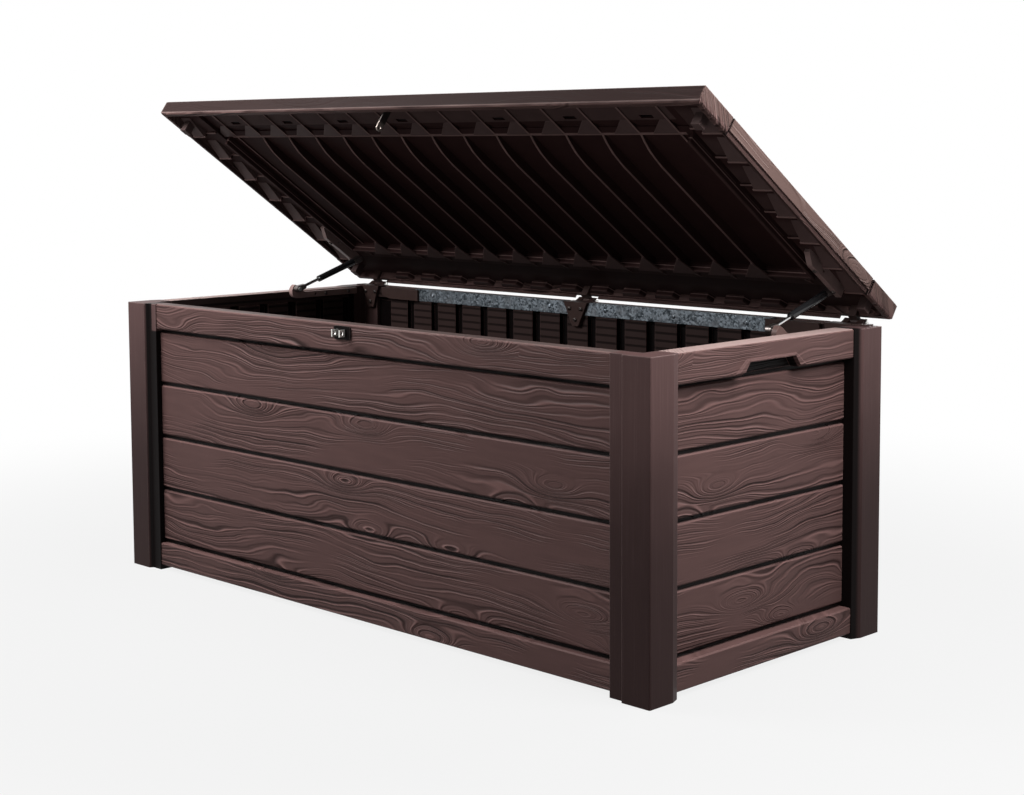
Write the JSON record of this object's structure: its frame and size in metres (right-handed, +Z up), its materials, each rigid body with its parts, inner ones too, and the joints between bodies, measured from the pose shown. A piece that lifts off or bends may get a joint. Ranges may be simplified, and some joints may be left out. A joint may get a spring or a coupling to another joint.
{
  "type": "deck storage box",
  "caption": "Large outdoor resin storage box with plank-look walls, corner posts and a full-width hinged lid held open by gas struts.",
  "frame": {"origin": "on the ground, under the middle of the box with its lid open", "axes": "+X along the box's width to the right seen from the front, +Y to the rear where the lid is hinged, +Z up"},
  "size_m": [1.546, 0.71, 1.0309],
  "materials": {
    "wall_resin": "moulded polypropylene with a brushed wood grain",
    "post_resin": "moulded polypropylene with a fine upright grain",
    "floor_resin": "moulded polypropylene, satin",
    "lid_resin": "moulded polypropylene with a brushed wood grain",
    "liner_resin": "moulded polypropylene, satin",
    "bracket_resin": "moulded polypropylene, satin",
    "galvanised_steel": "galvanised sheet with spangle",
    "zinc_plated_steel": "bright zinc plate",
    "strut_black": "satin black paint",
    "strut_rod": "polished rod",
    "strut_end": "satin black paint",
    "lock_metal": "bright plated steel",
    "lock_plate_resin": "moulded plastic, satin"
  },
  "bodies": {
    "base": {"front_panel": "wall_resin", "rear_panel": "wall_resin", "left_panel": "wall_resin", "right_panel": "wall_resin", "post_front_left": "post_resin", "post_front_right": "post_resin", "post_rear_left": "post_resin", "post_rear_right": "post_resin", "floor_left": "floor_resin", "floor_right": "floor_resin", "rear_bar_left": "galvanised_steel", "rear_bar_right": "galvanised_steel", "bar_clip_left": "bracket_resin", "bar_clip_right": "bracket_resin", "hinge_bracket_left": "bracket_resin", "hinge_bracket_centre": "bracket_resin", "hinge_bracket_right": "bracket_resin", "hinge_pin_left": "zinc_plated_steel", "hinge_pin_centre": "zinc_plated_steel", "hinge_pin_right": "zinc_plated_steel", "wall_rail_left": "bracket_resin", "wall_rail_right": "bracket_resin", "lower_stud_left": "zinc_plated_steel", "lower_stud_right": "zinc_plated_steel", "lock_plate": "lock_plate_resin", "lock_staple": "lock_metal"},
    "lid": {"lid_top": "lid_resin", "lid_liner": "liner_resin", "liner_ribs": "liner_resin", "lid_rest_pads": "liner_resin", "lid_lug_left": "bracket_resin", "lid_lug_centre": "bracket_resin", "lid_lug_right": "bracket_resin", "lid_rail_left": "bracket_resin", "lid_rail_right": "bracket_resin", "upper_stud_left": "zinc_plated_steel", "upper_stud_right": "zinc_plated_steel", "lid_hasp": "lock_metal"},
    "rod_left": {"rod_eye_left": "strut_end", "strut_rod_left": "strut_rod"},
    "cylinder_left": {"strut_cylinder_left": "strut_black", "cylinder_eye_left": "strut_end"},
    "rod_right": {"rod_eye_right": "strut_end", "strut_rod_right": "strut_rod"},
    "cylinder_right": {"strut_cylinder_right": "strut_black", "cylinder_eye_right": "strut_end"}
  },
  "joints": [
    {"name": "lid_hinge", "type": "hinge", "parent": "base", "child": "lid", "pos_m": [0, 0.3335, 0.592], "axis": [-1, 0, 0], "range_deg": [-35, 0]},
    {"name": "strut_swing_left", "type": "hinge", "parent": "base", "child": "rod_left", "pos_m": [-0.686, 0.0745, 0.596], "axis": [1, 0, 0], "range_deg": [-15, 0.5]},
    {"name": "strut_slide_left", "type": "slide", "parent": "rod_left", "child": "cylinder_left", "axis": [0, 0.951, 0.3093], "range_m": [-0.039, 0.001]},
    {"name": "strut_swing_right", "type": "hinge", "parent": "base", "child": "rod_right", "pos_m": [0.686, 0.0745, 0.596], "axis": [1, 0, 0], "range_deg": [-15, 0.5]},
    {"name": "strut_slide_right", "type": "slide", "parent": "rod_right", "child": "cylinder_right", "axis": [0, 0.951, 0.3093], "range_m": [-0.039, 0.001]}
  ],
  "couplings": [
    {"joint": "strut_swing_left", "follows": "lid_hinge", "ratio": 0.3996},
    {"joint": "strut_slide_left", "follows": "lid_hinge", "m_per_rad": 0.06067},
    {"joint": "strut_swing_right", "follows": "lid_hinge", "ratio": 0.3996},
    {"joint": "strut_slide_right", "follows": "lid_hinge", "m_per_rad": 0.06067}
  ]
}
